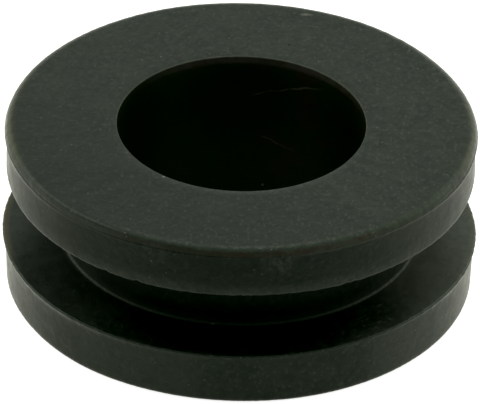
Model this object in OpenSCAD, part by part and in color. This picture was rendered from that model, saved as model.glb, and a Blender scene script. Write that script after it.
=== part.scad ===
// Round rubber grommet, moulded in one piece.
// The Z axis is the bore axis. The lower flange rests on z = 0, and the
// flange with the large rounded edge is uppermost. Millimetres.

/* [Bore and neck] */
// Diameter of the straight bore that the cable passes through
bore_d = 12.6; // [8:0.1:14]
// Diameter of the neck, which fills the hole in the panel
neck_d = 18.3; // [17:0.1:20]
// Width of the groove, which takes the panel's edge
groove_w = 3.55; // [1.5:0.05:5]
// Fillet where the neck meets each flange
neck_fillet = 0.15; // [0.1:0.05:0.6]

/* [Flanges] */
// Diameter over the lip of the upper flange
flange_d = 24; // [23:0.1:28]
// Thickness of the upper flange
upper_t = 2.7; // [2.4:0.05:4]
// Thickness of the lower flange
lower_t = 2.9; // [2:0.05:4]
// How far the upper flange's lip stands out from the side wall
upper_lip = 0.1; // [0.05:0.01:0.3]
// How far the lower flange's lip stands out from the side wall
lower_lip = 0.15; // [0.05:0.01:0.3]

/* [Edges] */
// Radius of the rounded edge above the upper flange's lip
upper_edge_r = 0.65; // [0.4:0.05:1.2]
// Radius of the rounded edge above the lower flange's lip
lower_edge_r = 0.1; // [0.1:0.05:0.6]
// Angle through which both edges curve over before they end at a lip
edge_turn = 70; // [45:1:80]
// Radius of the hollow below each lip
hollow_r = 0.4; // [0.35:0.05:0.6]
// Radius on the lower edge of the upper flange
under_edge_r = 0.15; // [0.05:0.05:0.3]
// Radius on the bottom edge of the lower flange
base_edge_r = 0.3; // [0.05:0.05:0.4]

/* [Hidden] */
$fn = 180;
eps = 1;

bore_r = bore_d / 2;
neck_r = neck_d / 2;
upper_r = flange_d / 2;
wall_r = upper_r - upper_lip;
lower_r = wall_r + lower_lip;

// Heights of the groove's two faces and of the top
groove_z0 = lower_t;
groove_z1 = lower_t + groove_w;
height = groove_z1 + upper_t;

// Height of a lip above its hollow's end, where the side wall starts
function hollow_h(lip) = sqrt(pow(hollow_r, 2) - pow(hollow_r - lip, 2));

// Half section of one flange, from z0 to z1. From the top face inwards to
// outwards: a rounded edge, which ends at the lip; a small hollow below the
// lip; the side wall, set in from the lip; and the rounded lower edge.
module flange_section(z0, z1, lip, edge_r, foot_r) {
    r = wall_r + lip;
    edge_x = r - edge_r * sin(edge_turn);
    edge_z = z1 - edge_r;
    lip_z = edge_z + edge_r * cos(edge_turn);
    wall_z = lip_z - hollow_h(lip);
    difference() {
        translate([bore_r, z0]) square([r - bore_r, z1 - z0]);
        // what the rounded edge leaves away from the square corner
        difference() {
            translate([edge_x, lip_z])
                square([r - edge_x + eps, z1 - lip_z + eps]);
            translate([edge_x, edge_z]) circle(r = edge_r);
        }
        // hollow below the lip
        translate([wall_r + hollow_r, wall_z]) circle(r = hollow_r);
        // side wall
        translate([wall_r, z0 - eps])
            square([lip + eps, wall_z - z0 + eps]);
        // rounded lower edge
        difference() {
            translate([wall_r - foot_r, z0 - eps])
                square([foot_r + eps, foot_r + eps]);
            translate([wall_r - foot_r, z0 + foot_r]) circle(r = foot_r);
        }
    }
}

// Fillet between the neck and the flange face at height z
module fillet_section(z, up) {
    translate([neck_r, z]) mirror([0, up ? 0 : 1])
        difference() {
            translate([-neck_fillet, -neck_fillet])
                square(2 * neck_fillet);
            translate([neck_fillet, neck_fillet]) circle(r = neck_fillet);
        }
}

module half_section() {
    flange_section(0, groove_z0, lower_lip, lower_edge_r, base_edge_r);
    flange_section(groove_z1, height, upper_lip, upper_edge_r, under_edge_r);
    translate([bore_r, groove_z0 - neck_fillet])
        square([neck_r - bore_r, groove_w + 2 * neck_fillet]);
    fillet_section(groove_z0, true);
    fillet_section(groove_z1, false);
}

module grommet() {
    color([0.15, 0.17, 0.15])
        rotate_extrude() half_section();
}

grommet();
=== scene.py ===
"""Round rubber grommet, moulded in one piece: looks.

The grommet stands on its lower flange, with the bore along +Z. All profile
sizes below are in millimetres and are turned into metres when the mesh is made.
"""
import math

import bpy
import numpy as np
from mathutils import Matrix, Vector


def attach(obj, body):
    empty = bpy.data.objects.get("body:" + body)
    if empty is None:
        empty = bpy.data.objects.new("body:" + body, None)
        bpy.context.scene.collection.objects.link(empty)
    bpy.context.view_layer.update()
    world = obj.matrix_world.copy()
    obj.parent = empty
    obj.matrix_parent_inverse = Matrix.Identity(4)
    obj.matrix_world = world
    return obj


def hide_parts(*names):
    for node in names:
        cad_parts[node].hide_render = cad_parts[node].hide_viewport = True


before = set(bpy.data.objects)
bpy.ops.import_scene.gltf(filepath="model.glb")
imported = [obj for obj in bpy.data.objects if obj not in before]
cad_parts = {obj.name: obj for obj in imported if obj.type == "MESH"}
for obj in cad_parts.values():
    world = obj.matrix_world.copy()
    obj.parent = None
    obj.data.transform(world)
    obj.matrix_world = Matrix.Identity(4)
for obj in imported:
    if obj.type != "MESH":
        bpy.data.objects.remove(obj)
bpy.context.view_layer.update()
MM = 0.001
TAU = 2.0 * math.pi

# ---------------------------------------------------------------- dimensions
BORE_R = 6.3
NECK_R = 9.03
NECK_FILLET = 0.14
HEIGHT = 9.15
GROOVE_Z0, GROOVE_Z1 = 2.9, 6.45
WALL_R = 11.9
EDGE_TURN = math.radians(70)
HOLLOW_R = 0.9
UPPER_R, UPPER_EDGE_R, UNDER_EDGE_R = 12.0, 0.65, 0.20
LOWER_R, LOWER_EDGE_R, BASE_EDGE_R = 12.05, 0.1, 0.3
SEGMENTS = 720


# ------------------------------------------------------------- periodic noise
def ring_noise(phi, seed, low, high, slope=1.0):
    """Smooth noise around the rim, made of waves from low to high per turn."""
    rng = np.random.RandomState(seed)
    out = np.zeros_like(phi)
    power = 0.0
    for k in range(low, high + 1):
        a = (low / k) ** slope
        out += a * np.cos(k * phi + rng.uniform(0, TAU))
        power += 0.5 * a * a
    return out / math.sqrt(power)


def lattice_noise(u, v, seed, nu, nv):
    """Value noise over (u, v), periodic in u from 0 to 1, with nu by nv cells."""
    rng = np.random.RandomState(seed)
    grid = rng.uniform(-1, 1, (nu, nv + 2))
    x = (u % 1.0) * nu
    y = np.clip(v, 0, 1) * nv
    i, j = np.floor(x).astype(int), np.minimum(np.floor(y).astype(int), nv - 1)
    fx, fy = x - i, y - j
    fx, fy = fx * fx * (3 - 2 * fx), fy * fy * (3 - 2 * fy)
    a, b = grid[i % nu, j], grid[(i + 1) % nu, j]
    c, d = grid[i % nu, j + 1], grid[(i + 1) % nu, j + 1]
    return (a * (1 - fx) + b * fx) * (1 - fy) + (c * (1 - fx) + d * fx) * fy


def near(phi, degrees, half_width_mm, radius=12.0):
    """1 at this azimuth, falling to 0 half_width_mm away along the rim."""
    d = (phi - math.radians(degrees) + math.pi) % TAU - math.pi
    t = np.clip(1 - np.abs(d) * radius / half_width_mm, 0, 1)
    return t * t * (3 - 2 * t)


def around(table):
    """Smooth curve through (degrees, value) pairs, once around the rim."""
    deg = np.array([p[0] for p in table], float)
    val = np.array([p[1] for p in table], float)
    raw = np.interp(np.degrees(phi), deg, val, period=360)
    k = np.fft.rfftfreq(SEGMENTS, 1.0 / SEGMENTS)
    return np.fft.irfft(np.fft.rfft(raw) * np.exp(-0.5 * (k * math.radians(2.5)) ** 2), SEGMENTS)


# ------------------------------------------------------------------- profile
# Each entry is (r, z, kind), where r and z are one number, or one for each step
# around the rim. The loop runs up the outside and down the bore.
phi = np.arange(SEGMENTS) * TAU / SEGMENTS - math.pi
profile = []


def put(r, z, kind):
    profile.append((np.broadcast_to(r, SEGMENTS), np.broadcast_to(z, SEGMENTS), kind))


def line(a, b, n, kind, ends=(True, True)):
    for i in range(0 if ends[0] else 1, n if ends[1] else n - 1):
        t = i / (n - 1)
        put(a[0] + (b[0] - a[0]) * t, a[1] + (b[1] - a[1]) * t, kind)


def arc(c, radius, a0, a1, n, kind, ends=(True, True)):
    """Angles in degrees, measured from +r towards +z."""
    for i in range(0 if ends[0] else 1, n if ends[1] else n - 1):
        a = np.radians(a0 + (a1 - a0) * i / (n - 1))
        put(c[0] + radius * np.cos(a), c[1] + radius * np.sin(a), kind)


def flange(z0, z1, wall_r, lip_r, drop, edge_r, turn, foot_r, names, wall_n, edge_n, foot_n):
    """Foot edge, side wall, hollow, lip and rounded edge, from below to above.
    The lip is at lip_r, and drop below the flange's top face. Above it a straight
    slope, turn from the level, runs into an arc of radius edge_r."""
    sin_t, cos_t = np.sin(turn), np.cos(turn)
    edge_r = np.minimum(edge_r, drop / (1 - cos_t))
    slope = (drop - edge_r * (1 - cos_t)) / sin_t
    edge_x = lip_r - edge_r * sin_t - slope * cos_t
    edge_z = z1 - edge_r
    lip_z = z1 - drop
    lip = lip_r - wall_r
    fall = np.sqrt(HOLLOW_R ** 2 - (HOLLOW_R - lip) ** 2)
    wall_z = lip_z - fall
    arc((wall_r - foot_r, z0 + foot_r), foot_r, -90, 0, foot_n, names + "_foot")
    line((wall_r, z0 + foot_r), (wall_r, wall_z), wall_n, names + "_wall", (False, False))
    deg = np.degrees(np.arcsin(fall / HOLLOW_R))
    arc((wall_r + HOLLOW_R, wall_z), HOLLOW_R, 180, 180 - deg, 6, names + "_hollow")
    put(lip_r - 0.002, lip_z + 0.004, names + "_lip")
    foot_x, foot_z = edge_x + edge_r * sin_t, edge_z + edge_r * cos_t
    put(lip_r + (foot_x - lip_r) * 0.4, lip_z + 0.008 + (foot_z - lip_z - 0.008) * 0.4, names + "_edge")
    arc((edge_x, edge_z), edge_r, 90 - np.degrees(turn) + 2, 90, edge_n, names + "_edge")
    return edge_x


# The upper lip isn't the same all round: it lies higher and stands out less at
# the front, where the edge is worn.
nominal = UPPER_EDGE_R * (1 - math.cos(EDGE_TURN))
upper_wall_r = around([(-180, 11.87), (-163, 11.875), (-155, 11.90), (-142, 11.905), (-125, 11.90), (-112, 11.88), (-40, 11.88),
                       (-25, 11.895), (-10, 11.88), (90, 11.88)])
upper_drop = around([(-180, 0.46), (-165, 0.47), (-155, 0.50), (-148, 0.52), (-142, 0.53), (-137, 0.49), (-125, 0.45), (-118, 0.43), (-113, 0.42),
                     (-98, 0.38), (-70, 0.36), (-55, 0.38), (-42, 0.41), (-30, 0.46), (-20, 0.52), (-8, 0.54),
                     (10, 0.50), (140, 0.50), (165, 0.48)])
upper_lip_r = around([(-180, 11.98), (-165, 11.98), (-155, 11.938), (-148, 11.938), (-142, 11.928), (-137, 11.922), (-130, 11.915),
                      (-120, 11.90), (-113, 11.888), (-60, 11.888), (-50, 11.90), (-42, 11.903), (-36, 11.917), (-30, 11.93),
                      (-22, 11.94), (-14, 11.96), (0, 11.985), (18, 11.95),
                      (28, 11.935), (45, 11.94), (60, 11.97), (120, 11.97), (145, 11.97), (160, 11.96), (170, 11.975)])
upper_turn = np.radians(around([(-180, 70), (-160, 71), (-155, 75), (-148, 81), (-142, 85), (-137, 86), (-127, 86), (-118, 72), (-113, 66), (-60, 62),
                                (-45, 66), (-30, 70), (90, 70)]))
upper_edge_r = around([(-180, 0.38), (-165, 0.36), (-155, 0.27), (-148, 0.19), (-142, 0.15), (-137, 0.13), (-125, 0.15), (-118, 0.27), (-113, 0.31),
                       (-65, 0.30), (-45, 0.34), (-20, 0.34), (0, 0.40), (22, 0.7), (40, 0.78), (140, 0.78), (160, 0.55)])
upper_drop = upper_drop + 0.008 * ring_noise(phi, 11, 3, 14) + 0.005 * ring_noise(phi, 12, 40, 170, 0.6)
upper_lip_r = np.clip(upper_lip_r - 0.003 + 0.002 * ring_noise(phi, 13, 60, 200, 0.5), upper_wall_r + 0.004, UPPER_R)
low_nominal = LOWER_EDGE_R * (1 - math.cos(EDGE_TURN))
lower_drop = around([(-180, low_nominal), (-140, low_nominal), (-110, 0.045), (-60, 0.045), (-30, low_nominal), (90, low_nominal)])
lower_turn = np.full(SEGMENTS, EDGE_TURN)
lower_drop = lower_drop + np.abs(0.010 * ring_noise(phi, 22, 40, 170, 0.6)) + 0.004
lower_lip_r = around([(-180, 12.05), (-140, 12.05), (-125, 12.0), (-110, 11.95), (-62, 11.935), (-50, 11.94), (-36, 11.955),
                      (-26, 12.02), (-18, 12.05), (0, 12.03), (12, 11.975), (28, 11.975), (45, 12.03), (90, 12.05)])
lower_lip_r = np.clip(lower_lip_r - 0.008 + 0.006 * ring_noise(phi, 23, 60, 200, 0.5), WALL_R + 0.012, LOWER_R)

# base face, from the bore outwards
arc((BORE_R + 0.12, 0.12), 0.12, 180, 270, 4, "bore_foot")
line((BORE_R + 0.12, 0), (WALL_R - BASE_EDGE_R, 0), 5, "base", (False, False))
low_x = flange(0.0, GROOVE_Z0, WALL_R, lower_lip_r, lower_drop, 0.2, lower_turn, BASE_EDGE_R, "low", 13, 6, 6)
line((low_x, GROOVE_Z0), (NECK_R + NECK_FILLET, GROOVE_Z0), 11, "low_top", (False, False))
arc((NECK_R + NECK_FILLET, GROOVE_Z0 + NECK_FILLET), NECK_FILLET, 270, 180, 7, "low_fillet")
line((NECK_R, GROOVE_Z0 + NECK_FILLET), (NECK_R, GROOVE_Z1 - NECK_FILLET), 7, "neck", (False, False))
arc((NECK_R + NECK_FILLET, GROOVE_Z1 - NECK_FILLET), NECK_FILLET, 180, 90, 6, "up_fillet")
line((NECK_R + NECK_FILLET, GROOVE_Z1), (upper_wall_r - UNDER_EDGE_R, GROOVE_Z1), 6, "under", (False, False))
up_x = flange(GROOVE_Z1, HEIGHT, upper_wall_r, upper_lip_r, upper_drop, upper_edge_r, upper_turn, UNDER_EDGE_R, "up", 13, 12, 5)
line((up_x, HEIGHT), (BORE_R + 0.06, HEIGHT), 12, "top", (False, False))
arc((BORE_R + 0.06, HEIGHT - 0.06), 0.06, 90, 180, 4, "bore_lip")
line((BORE_R, HEIGHT - 0.06), (BORE_R, 0.12), 12, "bore", (False, False))

kinds = [p[2] for p in profile]
n_prof = len(profile)
print("profile points", n_prof, "triangles", n_prof * SEGMENTS * 2)

# -------------------------------------------------------------- moulded rings
PHI = np.repeat(phi[:, None], n_prof, 1)
R = np.stack([p[0] for p in profile], axis=1).astype(float)
Z = np.stack([p[1] for p in profile], axis=1).astype(float)

# small nicks and rough places on the lower edge of the upper flange
foot = np.array([1.0 if k == "up_foot" else 0.0 for k in kinds])
foot_edge = 0.006 * ring_noise(phi, 31, 50, 220, 0.5)
nick = 0.05 * near(phi, -124.2, 0.22) + 0.06 * near(phi, -115.3, 0.25) + 0.05 * near(phi, -62.7, 0.22) + 0.035 * near(phi, -60.6, 0.18)
# the upper flange sags a little at the front left
sag = -0.05 * around([(-180, 0), (-140, 0), (-128, 0.8), (-104, 0.8), (-90, 0.1), (-78, 0), (-70, 0.7), (-60, 0.7), (-50, 0), (90, 0)])
Z += np.outer(foot_edge + nick + sag, foot)
R -= np.outer(0.5 * nick, foot)

# rough base edge
base_edge = np.array([1.0 if k == "low_foot" else 0.0 for k in kinds])
R -= np.outer(np.abs(0.006 * ring_noise(phi, 41, 50, 200, 0.5)), base_edge)

# the lower flange tapers slightly towards its base, most at the front left
low_side = np.array([1.0 if k in ("low_foot", "low_wall") else 0.0 for k in kinds])
taper = around([(-180, 0.08), (-165, 0.08), (-150, 0.11), (-142, 0.09), (-132, 0.07), (-122, 0.09), (-112, 0.12), (-95, 0.12),
                (-75, 0.09), (-40, 0.09), (90, 0.08)])
R -= taper[:, None] * np.clip((2.49 - Z) / 2.19, 0, 1) * low_side[None, :]

# very soft unevenness of the moulded faces
u = (PHI / TAU) % 1.0
v = np.repeat((np.arange(n_prof) / n_prof)[None, :], SEGMENTS, 0)
soft = lattice_noise(u, v, 51, 60, 24)
for kind, amount in (("top", 0.012), ("up_wall", -0.012), ("low_wall", -0.012), ("low_top", 0.010)):
    mask = np.array([1.0 if k == kind else 0.0 for k in kinds])
    if kind in ("top", "low_top"):
        Z -= np.abs(soft) * amount * mask[None, :]
    else:
        R += np.abs(soft) * amount * mask[None, :]

# ----------------------------------------------------------------------- mesh
co = np.stack([R * np.cos(PHI), R * np.sin(PHI), Z], axis=2).reshape(-1, 3) * MM
i = np.repeat(np.arange(SEGMENTS)[:, None], n_prof, 1)
j = np.repeat(np.arange(n_prof)[None, :], SEGMENTS, 0)
i2, j2 = (i + 1) % SEGMENTS, (j + 1) % n_prof
quads = np.stack([i * n_prof + j, i2 * n_prof + j, i2 * n_prof + j2, i * n_prof + j2], axis=2).reshape(-1, 4)
mesh = bpy.data.meshes.new("grommet_rubber")
mesh.vertices.add(len(co))
mesh.vertices.foreach_set("co", co.astype(np.float32).ravel())
mesh.loops.add(quads.size)
mesh.loops.foreach_set("vertex_index", quads.astype(np.int32).ravel())
mesh.polygons.add(len(quads))
mesh.polygons.foreach_set("loop_start", (np.arange(len(quads)) * 4).astype(np.int32))
mesh.polygons.foreach_set("loop_total", np.full(len(quads), 4, np.int32))
mesh.update(calc_edges=True)
mesh.validate()
mesh.polygons.foreach_set("use_smooth", np.ones(len(quads), bool))
mesh.update()

grommet = bpy.data.objects.new("grommet_body", mesh)
bpy.context.scene.collection.objects.link(grommet)


# ------------------------------------------------------------------ materials
class Tree:
    """Short forms for building a node tree."""

    def __init__(self, name):
        self.material = bpy.data.materials.new(name)
        self.material.use_nodes = True
        self.t = self.material.node_tree
        self.t.nodes.clear()

    def put(self, socket, value):
        if isinstance(value, bpy.types.NodeSocket):
            self.t.links.new(value, socket)
        else:
            socket.default_value = value

    def math(self, op, a, b=0.0, c=0.0, clamp=False):
        n = self.t.nodes.new("ShaderNodeMath")
        n.operation = op
        n.use_clamp = clamp
        for s, value in zip(n.inputs, (a, b, c)):
            self.put(s, value)
        return n.outputs[0]

    def vec(self, op, a, b=(0, 0, 0), scale=None):
        n = self.t.nodes.new("ShaderNodeVectorMath")
        n.operation = op
        self.put(n.inputs[0], a)
        self.put(n.inputs[1], b)
        if scale is not None:
            self.put(n.inputs["Scale"], scale)
        return n.outputs["Value"] if op in ("LENGTH", "DOT_PRODUCT", "DISTANCE") else n.outputs[0]

    def combine(self, x, y, z):
        n = self.t.nodes.new("ShaderNodeCombineXYZ")
        for s, value in zip(n.inputs, (x, y, z)):
            self.put(s, value)
        return n.outputs[0]

    def split(self, v):
        n = self.t.nodes.new("ShaderNodeSeparateXYZ")
        self.put(n.inputs[0], v)
        return n.outputs

    def noise(self, v, scale, detail=2.0, rough=0.5):
        n = self.t.nodes.new("ShaderNodeTexNoise")
        n.noise_dimensions = "3D"
        self.put(n.inputs["Vector"], v)
        self.put(n.inputs["Scale"], scale)
        self.put(n.inputs["Detail"], detail)
        self.put(n.inputs["Roughness"], rough)
        return n.outputs[0]

    def cells(self, v, scale, feature="F1"):
        n = self.t.nodes.new("ShaderNodeTexVoronoi")
        n.feature = feature
        self.put(n.inputs["Vector"], v)
        self.put(n.inputs["Scale"], scale)
        return n

    def ramp(self, value, lo, hi, a=0.0, b=1.0):
        """Smooth step of value from lo to hi, giving a to b."""
        n = self.t.nodes.new("ShaderNodeMapRange")
        n.interpolation_type = "SMOOTHSTEP"
        self.put(n.inputs["Value"], value)
        self.put(n.inputs["From Min"], lo)
        self.put(n.inputs["From Max"], hi)
        self.put(n.inputs["To Min"], a)
        self.put(n.inputs["To Max"], b)
        return n.outputs[0]

    def mix(self, f, a, b, mode="MIX"):
        n = self.t.nodes.new("ShaderNodeMix")
        n.data_type = "RGBA"
        n.blend_type = mode
        n.clamp_factor = True
        self.put(n.inputs[0], f)
        self.put(n.inputs[6], a)
        self.put(n.inputs[7], b)
        return n.outputs[2]

    def spot(self, p, at, radius, soft=0.5):
        """1 within radius of a point (all in millimetres), 0 outside."""
        d = self.vec("DISTANCE", p, at)
        return self.ramp(d, radius, radius * soft)


def rubber(name, ior):
    """The whole part is one rubber; inside the bore it's smooth and dull, and dark by painted shade: a darker colour
    towards its left and right, and a copy with a lower IOR for weaker reflections.
    """
    m = Tree(name)
    t = m.t
    coord = t.nodes.new("ShaderNodeTexCoord")
    p = m.vec("SCALE", coord.outputs["Object"], scale=1000.0)  # millimetres
    x, y, z = m.split(p)
    flat = m.combine(x, y, 0.0)
    r = m.vec("LENGTH", flat)

    side_x = m.math("DIVIDE", x, m.math("MAXIMUM", r, 0.1))  # cosine of the azimuth
    side_y = m.math("DIVIDE", y, m.math("MAXIMUM", r, 0.1))
    q = m.vec("MULTIPLY", p, (1.0, 0.7, 0.9))

    cloud = m.noise(p, 0.45, 3.0, 0.55)
    mottle = m.noise(q, 1.5, 2.0, 0.5)
    grain = m.noise(q, 3.2, 1.5, 0.5)
    fine = m.noise(q, 5.6, 0.5, 0.5)

    def both(*masks):
        out = masks[0]
        for k in masks[1:]:
            out = m.math("MULTIPLY", out, k)
        return out

    # where the surface is: masks from the moulded form, each 0 to 1
    upper = m.ramp(z, 6.2, 6.5)
    is_top = m.ramp(z, 9.05, 9.12)
    front = m.ramp(side_y, -0.62, -0.88)
    bore = both(m.ramp(r, 6.42, 6.36), m.ramp(z, 9.10, 9.02))
    neck = both(m.ramp(r, 9.34, 9.16), m.ramp(r, 6.6, 6.9), m.ramp(z, 2.7, 2.8), m.ramp(z, 6.6, 6.5))
    low_top = both(m.ramp(z, 2.86, 2.885), m.ramp(z, 2.95, 2.93), m.ramp(r, 9.04, 9.18))
    edge_up = both(upper, m.ramp(r, 11.3, 11.8), m.ramp(z, 8.70, 8.80))
    edge_low = both(low_top, m.ramp(r, 11.6, 11.9))
    flank = m.ramp(m.math("ABSOLUTE", side_x), 0.90, 0.985)
    behind = m.ramp(side_y, -0.15, 0.25)
    wall = both(upper, m.ramp(r, 11.7, 11.8))

    # colour
    base = m.mix(m.ramp(grain, 0.34, 0.66), (0.0028, 0.0039, 0.0028, 1), (0.0058, 0.0077, 0.0057, 1))
    base = m.mix(m.ramp(cloud, 0.35, 0.7, 0.0, 0.45), base, (0.0075, 0.0090, 0.0070, 1))
    base = m.mix(m.ramp(mottle, 0.55, 0.75, 0.0, 0.4), base, (0.0100, 0.0118, 0.0094, 1))
    # painted shade: the top face and its rounding darker towards the front left
    tilt = m.math("ADD", m.math("MULTIPLY", x, 0.7), y)
    base = m.mix(both(upper, m.ramp(z, 8.6, 9.0), m.ramp(tilt, -14.0, 1.0, 0.72, 0.0)), base, (0.0010, 0.0013, 0.0010, 1))
    base = m.mix(both(m.ramp(fine, 0.55, 0.78), m.ramp(x, -8.0, 5.0, 0.17, 0.30)), base, (0.0300, 0.0330, 0.0275, 1))

    # brownish edges, yellowish: painted sheen along the grazing left and right and the back outline, partly dust; a
    # darker red brown at the front
    wear_and_sheen = m.ramp(m.noise(p, 1.1, 3.0, 0.6), 0.35, 0.65, 0.35, 1.0)
    brown_edge_and_sheen = both(edge_up, m.math("MAXIMUM", m.math("MULTIPLY", flank, 0.6), both(behind, m.ramp(r, 11.6, 11.85), wear_and_sheen)), m.ramp(grain, 0.2, 0.6, 0.6, 1.0))
    base = m.mix(m.math("MULTIPLY", brown_edge_and_sheen, 0.72), base, (0.0225, 0.0212, 0.0108, 1))
    round_front = both(edge_up, m.ramp(z, 8.76, 8.84), m.ramp(z, 9.12, 9.0))
    base = m.mix(both(round_front, m.ramp(side_y, -0.64, -0.86), 0.6), base, (0.0165, 0.0165, 0.0120, 1))
    # painted highlight: the rounding lighter at the right and at the left, where it catches the light
    lit_round_right = both(upper, m.ramp(r, 11.3, 11.8), m.ramp(z, 8.62, 8.70), m.ramp(z, 9.12, 9.0))
    base = m.mix(both(lit_round_right, m.ramp(side_x, 0.12, 0.40), m.ramp(side_x, 0.95, 0.88), m.ramp(side_y, -0.30, -0.50), 0.42), base, (0.0255, 0.0275, 0.0235, 1))
    lit_round_left = both(upper, m.ramp(r, 11.68, 11.80), m.ramp(z, 8.55, 8.70), m.ramp(side_x, -0.34, -0.55), m.ramp(side_x, -0.96, -0.88))
    base = m.mix(both(lit_round_left, m.ramp(grain, 0.2, 0.6, 0.7, 1.0), 0.34), base, (0.0240, 0.0265, 0.0240, 1))
    # painted shade: a dark line along the lip at the left and right
    base = m.mix(both(upper, m.ramp(r, 11.925, 11.95), m.ramp(z, 8.85, 8.78), m.ramp(m.math("ABSOLUTE", side_x), 0.84, 0.93), 0.9), base, (0.0006, 0.0008, 0.0006, 1))
    red = both(round_front, front, m.ramp(m.noise(p, 2.4, 2.0, 0.6), 0.46, 0.60), m.ramp(side_x, -0.25, 0.0))
    base = m.mix(m.math("MULTIPLY", red, 0.45), base, (0.0150, 0.0075, 0.0055, 1))
    # painted sheen: a brownish rim on the lower flange at the far left and right
    base = m.mix(both(edge_low, m.ramp(m.math("ABSOLUTE", side_x), 0.95, 0.99), m.ramp(grain, 0.2, 0.6, 0.5, 0.8)), base, (0.0320, 0.0260, 0.0130, 1))

    # a pale, speckled band along the start of the front rounding
    band = both(is_top, m.ramp(r, 11.25, 11.45), m.ramp(r, 11.66, 11.52), m.ramp(side_y, -0.78, -0.92))
    speckle = m.ramp(m.noise(q, 4.4, 1.0, 0.6), 0.40, 0.70, 0.25, 1.0)
    base = m.mix(both(band, speckle, 0.32), base, (0.0360, 0.0370, 0.0320, 1))
    # painted shade: the upper side wall darker above its foot; painted light: a paler band along the foot
    base = m.mix(both(wall, m.ramp(z, 6.8, 7.3), m.ramp(z, 8.8, 8.6), 0.42), base, (0.0010, 0.0013, 0.0010, 1))
    foot = both(wall, m.ramp(z, 7.20, 6.75), m.ramp(grain, 0.2, 0.7, 0.5, 1.0))
    base = m.mix(m.math("MULTIPLY", foot, 0.35), base, (0.0230, 0.0255, 0.0210, 1))
    # light scuffs under the front rim
    scuff = m.math("MAXIMUM", m.spot(p, (2.1, -11.7, 8.60), 1.3, 0.3), m.math("MULTIPLY", m.spot(p, (-4.3, -11.1, 8.50), 1.0, 0.3), 0.6))
    base = m.mix(both(wall, scuff, m.ramp(m.noise(q, 2.6, 2.0, 0.6), 0.40, 0.62), 0.55), base, (0.0250, 0.0270, 0.0225, 1))
    # the lower side wall is a little lighter at the front right, and less at the front left
    low_wall = both(m.ramp(r, 11.7, 11.8), m.ramp(z, 2.88, 2.80))
    base = m.mix(both(low_wall, m.ramp(side_x, 0.50, 0.62), m.ramp(side_x, 0.82, 0.72), m.ramp(side_y, 0.0, -0.3), 0.18), base, (0.0320, 0.0345, 0.0300, 1))
    base = m.mix(both(low_wall, m.ramp(side_x, -0.08, -0.25), m.ramp(side_x, -0.72, -0.60), m.ramp(side_y, 0.0, -0.3), 0.16), base, (0.0320, 0.0345, 0.0300, 1))

    # the lower flange's face: painted light, lighter at the right and near its front right rim
    right = m.ramp(side_x, 0.65, 0.99)
    base = m.mix(both(low_top, right, m.ramp(grain, 0.25, 0.7, 0.45, 0.7)), base, (0.0420, 0.0460, 0.0390, 1))
    base = m.mix(both(low_top, m.ramp(r, 11.0, 11.9), m.ramp(side_x, 0.35, 0.65), m.ramp(side_y, -0.3, -0.5), 0.14), base, (0.0420, 0.0460, 0.0390, 1))
    # painted shadow: dark on the face under the front of the upper flange, and on the neck except at its far left and
    # right
    hidden = both(low_top, m.ramp(side_y, -0.74, -0.99), m.ramp(r, 12.0, 11.6, 0.4, 1.0))
    far = m.ramp(m.math("ABSOLUTE", side_x), 0.70, 0.92)
    shade = m.math("MAXIMUM", m.math("MULTIPLY", hidden, 0.75), both(neck, m.math("SUBTRACT", 1.0, far), 0.45))
    base = m.mix(shade, base, (0.0008, 0.0010, 0.0007, 1))
    # painted light: the neck lighter at its far left and right and towards its foot
    base = m.mix(both(neck, m.math("MAXIMUM", m.math("MULTIPLY", far, 0.4), m.ramp(z, 3.50, 3.04, 0.0, 0.7)), 0.34), base, (0.0220, 0.0240, 0.0205, 1))
    # inside the bore: greenish black with faint reddish patches
    tall = m.ramp(z, 7.8, 1.8)
    deep = m.mix(tall, (0.0070, 0.0098, 0.0062, 1), (0.0130, 0.0160, 0.0115, 1))
    warm = m.mix(tall, (0.0100, 0.0082, 0.0050, 1), (0.0175, 0.0165, 0.0135, 1))
    patch = m.ramp(m.noise(p, 0.8, 2.0, 0.55), 0.38, 0.62)
    deep = m.mix(both(patch, m.ramp(x, -1.0, 4.0, 0.45, 1.0)), deep, warm)
    # painted shade: the bore's wall darker towards its left and right
    deep = m.mix(m.ramp(m.math("ABSOLUTE", side_x), 0.45, 0.95, 0.0, 0.55), deep, (0.0004, 0.0007, 0.0004, 1))
    base = m.mix(bore, base, deep)
    # a faint brown band just inside the bore's top edge
    inside = both(m.ramp(r, 6.42, 6.36), m.ramp(z, 8.66, 8.88), m.ramp(side_y, 0.05, 0.55), m.ramp(side_x, -0.85, -0.35, 0.1, 1.0), m.ramp(side_x, 0.95, 0.55, 0.4, 1.0))
    base = m.mix(both(inside, m.ramp(m.noise(q, 2.2, 2.0, 0.6), 0.35, 0.62, 0.55, 0.95)), base, (0.0195, 0.0180, 0.0150, 1))

    # two faint, slightly bent scratches inside the bore
    bent = m.math("ADD", z, m.ramp(m.noise(p, 0.9, 1.0, 0.5), 0.2, 0.8, -0.12, 0.12))
    for level, slope, start, end in ((6.57, 0.40, 0.6, 3.9), (4.74, -0.36, 1.0, 2.6)):
        d = m.math("ABSOLUTE", m.math("SUBTRACT", bent, m.math("ADD", m.math("MULTIPLY", x, slope), level)))
        line_mask = both(m.ramp(d, 0.07, 0.015), m.ramp(x, start - 0.3, start + 0.2), m.ramp(x, end + 0.4, end - 0.4), m.ramp(side_y, 0.3, 0.5))
        base = m.mix(both(bore, line_mask, m.ramp(grain, 0.3, 0.6, 0.12, 0.40)), base, (0.0480, 0.0480, 0.0400, 1))
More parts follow.
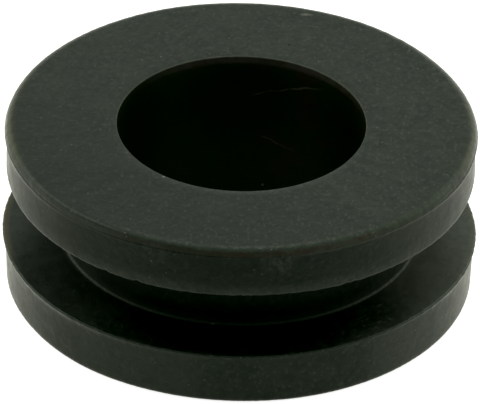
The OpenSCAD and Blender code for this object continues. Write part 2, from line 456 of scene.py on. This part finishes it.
    # single pale specks, a short pale scuff near the back rim and a dark fleck
    for at, size, much in (((-3.86, -5.15, 9.15), 0.09, 0.65), ((1.14, 6.20, 1.46), 0.10, 0.5), ((-1.24, -9.01, 2.92), 0.09, 0.4)):
        base = m.mix(both(m.spot(p, at, size, 0.3), much), base, (0.0900, 0.0920, 0.0850, 1))
    rub = both(is_top, m.spot(m.vec("MULTIPLY", p, (0.36, 1.0, 1.0)), (1.16, 10.46, 9.15), 0.17, 0.2), m.ramp(grain, 0.2, 0.6, 0.4, 1.0))
    base = m.mix(m.math("MULTIPLY", rub, 0.5), base, (0.0750, 0.0740, 0.0640, 1))
    fleck = m.spot(p, (2.36, 7.51, 9.15), 0.10, 0.4)
    base = m.mix(m.math("MULTIPLY", fleck, 0.9), base, (0.0006, 0.0006, 0.0006, 1))

    # dust
    dust = m.cells(p, 2.6)
    speck = m.ramp(dust.outputs["Distance"], 0.14, 0.05)
    some = m.ramp(m.noise(p, 1.7, 1.0, 0.5), 0.50, 0.60)
    clear = m.math("SUBTRACT", 1.0, m.math("MAXIMUM", m.math("MAXIMUM", low_top, bore), neck))
    base = m.mix(both(speck, some, clear, 0.7), base, (0.0550, 0.0570, 0.0500, 1))

    rough = m.ramp(mottle, 0.3, 0.7, 0.28, 0.33)
    rough = m.math("ADD", rough, m.ramp(grain, 0.3, 0.7, 0.02, -0.02))
    rough = m.math("ADD", rough, m.math("ADD", m.math("MULTIPLY", bore, 0.6), m.math("MULTIPLY", neck, 0.2)))
    rough = m.math("ADD", rough, m.math("MULTIPLY", fleck, 0.5))

    bump1 = t.nodes.new("ShaderNodeBump")
    bump1.inputs["Strength"].default_value = 0.5
    bump1.inputs["Distance"].default_value = 0.00004
    height = m.math("ADD", m.math("MULTIPLY", grain, 1.0), m.math("MULTIPLY", mottle, 0.8))
    height = m.math("MULTIPLY", height, m.ramp(low_top, 0.0, 1.0, 1.0, 0.12))
    any_wall = both(m.ramp(r, 11.7, 11.8), m.ramp(z, 8.85, 8.7))
    height = m.math("MULTIPLY", height, m.ramp(both(any_wall, m.ramp(m.math("ABSOLUTE", side_x), 0.4, 0.9)), 0.0, 1.0, 1.0, 0.3))
    m.put(bump1.inputs["Height"], height)
    bump2 = t.nodes.new("ShaderNodeBump")
    bump2.inputs["Strength"].default_value = 0.5
    bump2.inputs["Distance"].default_value = 0.00001
    m.put(bump2.inputs["Height"], m.math("MULTIPLY", fine, m.ramp(low_top, 0.0, 1.0, 1.0, 0.2)))
    t.links.new(bump1.outputs[0], bump2.inputs["Normal"])

    shader = t.nodes.new("ShaderNodeBsdfPrincipled")
    m.put(shader.inputs["Base Color"], base)
    m.put(shader.inputs["Roughness"], rough)
    m.put(shader.inputs["Normal"], bump2.outputs[0])
    shader.inputs["IOR"].default_value = ior
    shader.inputs["Specular Tint"].default_value = (0.77, 1.0, 0.80, 1)
    out = t.nodes.new("ShaderNodeOutputMaterial")
    t.links.new(shader.outputs[0], out.inputs["Surface"])
    return m.material


mesh.materials.append(rubber("black_rubber", 1.2))
# the same rubber with a lower IOR for the bore: painted shade, weaker reflections there
mesh.materials.append(rubber("black_rubber_bore_painted_shade", 1.05))
in_bore = np.array([a == "bore" or b == "bore" for a, b in zip(kinds, kinds[1:] + kinds[:1])])
mesh.polygons.foreach_set("material_index", np.tile(in_bore.astype(np.int32), SEGMENTS))
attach(grommet, "root")
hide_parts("grommet")

# ---------------------------------------------------------------------- floor
floor_mesh = bpy.data.meshes.new("floor")
n_floor = 96
ring = [(0.6 * math.cos(TAU * k / n_floor), 0.6 * math.sin(TAU * k / n_floor), 0.0) for k in range(n_floor)]
floor_mesh.from_pydata(ring, [], [list(range(n_floor))])
floor = bpy.data.objects.new("floor", floor_mesh)
bpy.context.scene.collection.objects.link(floor)
fm = bpy.data.materials.new("pale_floor")
fm.use_nodes = True
fs = fm.node_tree.nodes["Principled BSDF"]
fs.inputs["Base Color"].default_value = (0.3, 0.3, 0.3, 1)
fs.inputs["Roughness"].default_value = 0.9
fs.inputs["Specular IOR Level"].default_value = 0.1
# the floor glows softly, as over a light table, but not where the grommet covers it
ft = fm.node_tree
f_coord = ft.nodes.new("ShaderNodeTexCoord")
f_len = ft.nodes.new("ShaderNodeVectorMath")
f_len.operation = "LENGTH"
ft.links.new(f_coord.outputs["Object"], f_len.inputs[0])
f_map = ft.nodes.new("ShaderNodeMapRange")
f_map.interpolation_type = "SMOOTHSTEP"
ft.links.new(f_len.outputs["Value"], f_map.inputs["Value"])
f_map.inputs["From Min"].default_value = 10.5 * MM
f_map.inputs["From Max"].default_value = 11.7 * MM
f_map.inputs["To Min"].default_value = 0.0
f_map.inputs["To Max"].default_value = 0.85
f_split = ft.nodes.new("ShaderNodeSeparateXYZ")
ft.links.new(f_coord.outputs["Object"], f_split.inputs[0])
f_front = ft.nodes.new("ShaderNodeMapRange")
f_front.interpolation_type = "SMOOTHSTEP"
ft.links.new(f_split.outputs[1], f_front.inputs["Value"])
f_front.inputs["From Min"].default_value = -29 * MM
f_front.inputs["From Max"].default_value = -17 * MM
f_front.inputs["To Min"].default_value = 0.12
f_front.inputs["To Max"].default_value = 1.0
# dimmer places, left and right
dim = None
for at, size, least in (((-22.5, -8.5, 0.0), 9.5, 0.62), ((-20.5, 4.5, 0.0), 9.0, 0.66),
                        ((20.5, 6.0, 0.0), 9.5, 0.62), ((12.8, 6.2, 0.0), 5.0, 0.84), ((-7.5, 12.5, 0.0), 5.0, 0.88)):
    f_dist = ft.nodes.new("ShaderNodeVectorMath")
    f_dist.operation = "DISTANCE"
    ft.links.new(f_coord.outputs["Object"], f_dist.inputs[0])
    f_dist.inputs[1].default_value = [c * MM for c in at]
    f_dim = ft.nodes.new("ShaderNodeMapRange")
    f_dim.interpolation_type = "SMOOTHSTEP"
    ft.links.new(f_dist.outputs["Value"], f_dim.inputs["Value"])
    f_dim.inputs["From Min"].default_value = 0.35 * size * MM
    f_dim.inputs["From Max"].default_value = size * MM
    f_dim.inputs["To Min"].default_value = least
    f_dim.inputs["To Max"].default_value = 1.0
    n = ft.nodes.new("ShaderNodeMath")
    n.operation = "MULTIPLY"
    ft.links.new(f_dim.outputs[0], n.inputs[0])
    ft.links.new(dim.outputs[0] if dim else f_front.outputs[0], n.inputs[1])
    dim = n
# the camera sees the whole floor equally pale; what is in front of it is dark only
# to the rubber, like the unlit side of a studio
f_path = ft.nodes.new("ShaderNodeLightPath")
f_side = ft.nodes.new("ShaderNodeMath")
f_side.operation = "MAXIMUM"
ft.links.new(dim.outputs[0], f_side.inputs[0])
ft.links.new(f_path.outputs["Is Camera Ray"], f_side.inputs[1])
# seen through the bore it's a little darker
f_hole = ft.nodes.new("ShaderNodeMath")
f_hole.operation = "MULTIPLY_ADD"
ft.links.new(f_path.outputs["Is Camera Ray"], f_hole.inputs[0])
f_hole.inputs[1].default_value = 0.5
f_hole.inputs[2].default_value = 0.0
f_under = ft.nodes.new("ShaderNodeMath")
f_under.operation = "MAXIMUM"
ft.links.new(f_map.outputs[0], f_under.inputs[0])
ft.links.new(f_hole.outputs[0], f_under.inputs[1])
f_mul = ft.nodes.new("ShaderNodeMath")
f_mul.operation = "MULTIPLY"
ft.links.new(f_under.outputs[0], f_mul.inputs[0])
ft.links.new(f_side.outputs[0], f_mul.inputs[1])
ft.links.new(f_mul.outputs[0], fs.inputs["Emission Strength"])
f_tone = ft.nodes.new("ShaderNodeMix")
f_tone.data_type = "RGBA"
ft.links.new(f_path.outputs["Is Camera Ray"], f_tone.inputs[0])
f_tone.inputs[6].default_value = (1.0, 1.0, 0.86, 1)
f_tone.inputs[7].default_value = (1.0, 1.0, 1.0, 1)
ft.links.new(f_tone.outputs[2], fs.inputs["Emission Color"])
floor_mesh.materials.append(fm)

# --------------------------------------------------------------------- lights
world = bpy.data.worlds.new("studio")
world.use_nodes = True
bpy.context.scene.world = world
wt = world.node_tree
wt.nodes.clear()
w_coord = wt.nodes.new("ShaderNodeTexCoord")


def lobe(azimuth, elevation, half, strength):
    """A soft patch of light; azimuth 0 is the camera's side, 90 its right."""
    az, el = math.radians(azimuth), math.radians(elevation)
    n = wt.nodes.new("ShaderNodeVectorMath")
    n.operation = "DOT_PRODUCT"
    wt.links.new(w_coord.outputs["Generated"], n.inputs[0])
    n.inputs[1].default_value = (math.cos(el) * math.sin(az), -math.cos(el) * math.cos(az), math.sin(el))
    k = wt.nodes.new("ShaderNodeMapRange")
    k.interpolation_type = "SMOOTHSTEP"
    wt.links.new(n.outputs["Value"], k.inputs["Value"])
    k.inputs["From Min"].default_value = math.cos(math.radians(half))
    k.inputs["From Max"].default_value = 1.0
    k.inputs["To Min"].default_value = 0.0
    k.inputs["To Max"].default_value = strength
    return k.outputs[0]


w_sum = wt.nodes.new("ShaderNodeMath")
w_sum.operation = "ADD"
w_sum.inputs[0].default_value = 0.36
wt.links.new(lobe(180, 2, 128, 0.85), w_sum.inputs[1])
n = wt.nodes.new("ShaderNodeMath")
n.operation = "ADD"
wt.links.new(w_sum.outputs[0], n.inputs[0])
wt.links.new(lobe(0, 90, 55, 2.3), n.inputs[1])
w_round = wt.nodes.new("ShaderNodeBackground")
w_round.inputs["Color"].default_value = (0.96, 1.0, 0.92, 1)
wt.links.new(n.outputs[0], w_round.inputs["Strength"])
# the two side lights are a little warmer
n = wt.nodes.new("ShaderNodeMath")
n.operation = "ADD"
wt.links.new(lobe(113, 29, 53, 2.3), n.inputs[0])
wt.links.new(lobe(-113, 29, 53, 2.4), n.inputs[1])
w_sides = wt.nodes.new("ShaderNodeBackground")
w_sides.inputs["Color"].default_value = (0.97, 1.0, 0.80, 1)
wt.links.new(n.outputs[0], w_sides.inputs["Strength"])
w_light = wt.nodes.new("ShaderNodeAddShader")
wt.links.new(w_round.outputs[0], w_light.inputs[0])
wt.links.new(w_sides.outputs[0], w_light.inputs[1])
w_seen = wt.nodes.new("ShaderNodeBackground")
w_seen.inputs["Color"].default_value = (1, 1, 1, 1)
w_seen.inputs["Strength"].default_value = 1.0
w_path = wt.nodes.new("ShaderNodeLightPath")
w_mix = wt.nodes.new("ShaderNodeMixShader")
wt.links.new(w_path.outputs["Is Camera Ray"], w_mix.inputs[0])
wt.links.new(w_light.outputs[0], w_mix.inputs[1])
wt.links.new(w_seen.outputs[0], w_mix.inputs[2])
w_out = wt.nodes.new("ShaderNodeOutputWorld")
wt.links.new(w_mix.outputs[0], w_out.inputs["Surface"])

# --------------------------------------------------------------------- camera
EL = math.radians(32.978)
ROLL = math.radians(1.1143)
DIST = 0.6
PX = 0.012 / 236.4  # metres for each pixel at the target
back = Vector((0.0, -math.cos(EL), math.sin(EL)))
right = Vector((1.0, 0.0, 0.0))
up = back.cross(right)
basis = Matrix((right, up, back)).transposed() @ Matrix.Rotation(ROLL, 3, "Z")
cam_x, cam_y, cam_z = basis.col[0], basis.col[1], basis.col[2]
target = Vector((0.0, 0.0, 0.38 * 12 * MM))
place = target + back * DIST - cam_x * (0.018 * PX) - cam_y * (2.774 * PX)
cam = bpy.data.cameras.new("camera")
cam.sensor_fit = "HORIZONTAL"
cam.sensor_width = 36.0
cam.lens = 36.0 / (480 * PX / DIST)
cam.clip_start = 0.05
cam.clip_end = 10.0
camera = bpy.data.objects.new("camera", cam)
camera.matrix_world = Matrix.Translation(place) @ basis.to_4x4()
bpy.context.scene.collection.objects.link(camera)
bpy.context.scene.camera = camera

scene = bpy.context.scene
scene.view_settings.view_transform = "Standard"
scene.view_settings.look = "None"
scene.view_settings.exposure = 0.0
scene.view_settings.gamma = 1.0
# a slightly lowered black point, as in a contrasty product picture
scene.view_settings.use_curve_mapping = True
scene.view_settings.curve_mapping.black_level = (0.0034, 0.0026, 0.0030)
scene.view_settings.curve_mapping.update()
